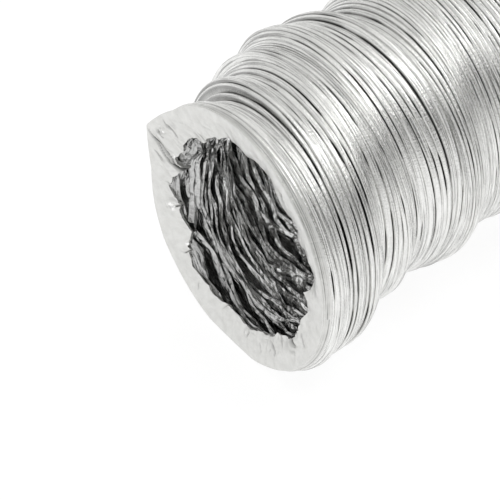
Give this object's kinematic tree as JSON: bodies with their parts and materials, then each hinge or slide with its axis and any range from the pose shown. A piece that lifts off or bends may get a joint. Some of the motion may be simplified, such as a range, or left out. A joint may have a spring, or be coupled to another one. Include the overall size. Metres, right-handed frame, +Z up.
{
  "type": "flexible foil ventilation duct",
  "caption": "Round flexible duct of aluminium foil over a helical spring wire, pushed together into a leaning stack of folds and lying on its side, open at both ends.",
  "frame": {"origin": "centre of the duct's box, on the surface it lies on", "axes": "+Y along the duct, away from the front opening, which faces -Y; +Z up; +X to the right of the duct seen from its front opening"},
  "size_m": [0.119, 0.2416, 0.1036],
  "materials": {
    "outer_foil": "bright laminated aluminium foil, finely creased across the turns",
    "inner_foil": "bright aluminium foil, folded and crumpled",
    "end_foil": "satin aluminium foil with faint radial wrinkles",
    "spring_wire": "drawn spring steel wire"
  },
  "bodies": {
    "section_01": {"section_01_outer_foil": "outer_foil", "section_01_wire": "spring_wire", "section_01_inner_foil": "inner_foil", "front_end_foil": "end_foil"},
    "section_02": {"section_02_outer_foil": "outer_foil", "section_02_wire": "spring_wire", "section_02_inner_foil": "inner_foil"},
    "section_03": {"section_03_outer_foil": "outer_foil", "section_03_wire": "spring_wire", "section_03_inner_foil": "inner_foil"},
    "section_04": {"section_04_outer_foil": "outer_foil", "section_04_wire": "spring_wire", "section_04_inner_foil": "inner_foil"},
    "section_05": {"section_05_outer_foil": "outer_foil", "section_05_wire": "spring_wire", "section_05_inner_foil": "inner_foil"},
    "section_06": {"section_06_outer_foil": "outer_foil", "section_06_wire": "spring_wire", "section_06_inner_foil": "inner_foil"},
    "section_07": {"section_07_outer_foil": "outer_foil", "section_07_wire": "spring_wire", "section_07_inner_foil": "inner_foil"},
    "section_08": {"section_08_outer_foil": "outer_foil", "section_08_wire": "spring_wire", "section_08_inner_foil": "inner_foil"},
    "section_09": {"section_09_outer_foil": "outer_foil", "section_09_wire": "spring_wire", "section_09_inner_foil": "inner_foil"},
    "section_10": {"section_10_outer_foil": "outer_foil", "section_10_wire": "spring_wire", "section_10_inner_foil": "inner_foil", "rear_end_foil": "end_foil"}
  },
  "joints": [
    {"name": "stretch_01_02", "type": "slide", "parent": "section_01", "child": "section_02", "axis": [0, 1, 0], "range_m": [0, 0.11]},
    {"name": "bend_02_03", "type": "hinge", "parent": "section_02", "child": "section_03", "pos_m": [-0.0595, -0.08295, 0.0516], "axis": [0, 0, 1], "range_deg": [0, 50]},
    {"name": "stretch_03_04", "type": "slide", "parent": "section_03", "child": "section_04", "axis": [0, 1, 0], "range_m": [0, 0.1]},
    {"name": "bend_04_05", "type": "hinge", "parent": "section_04", "child": "section_05", "pos_m": [0.0445, -0.04935, 0.0516], "axis": [0, 0, -1], "range_deg": [0, 50]},
    {"name": "stretch_05_06", "type": "slide", "parent": "section_05", "child": "section_06", "axis": [0, 1, 0], "range_m": [0, 0.13]},
    {"name": "bend_06_07", "type": "hinge", "parent": "section_06", "child": "section_07", "pos_m": [-0.0075, -0.00525, 0.1036], "axis": [1, 0, 0], "range_deg": [0, 60]},
    {"name": "stretch_07_08", "type": "slide", "parent": "section_07", "child": "section_08", "axis": [0, 1, 0], "range_m": [0, 0.17]},
    {"name": "bend_08_09", "type": "hinge", "parent": "section_08", "child": "section_09", "pos_m": [-0.0595, 0.05355, 0.0516], "axis": [0, 0, 1], "range_deg": [0, 75]},
    {"name": "stretch_09_10", "type": "slide", "parent": "section_09", "child": "section_10", "axis": [0, 1, 0], "range_m": [0, 0.2]}
  ]
}
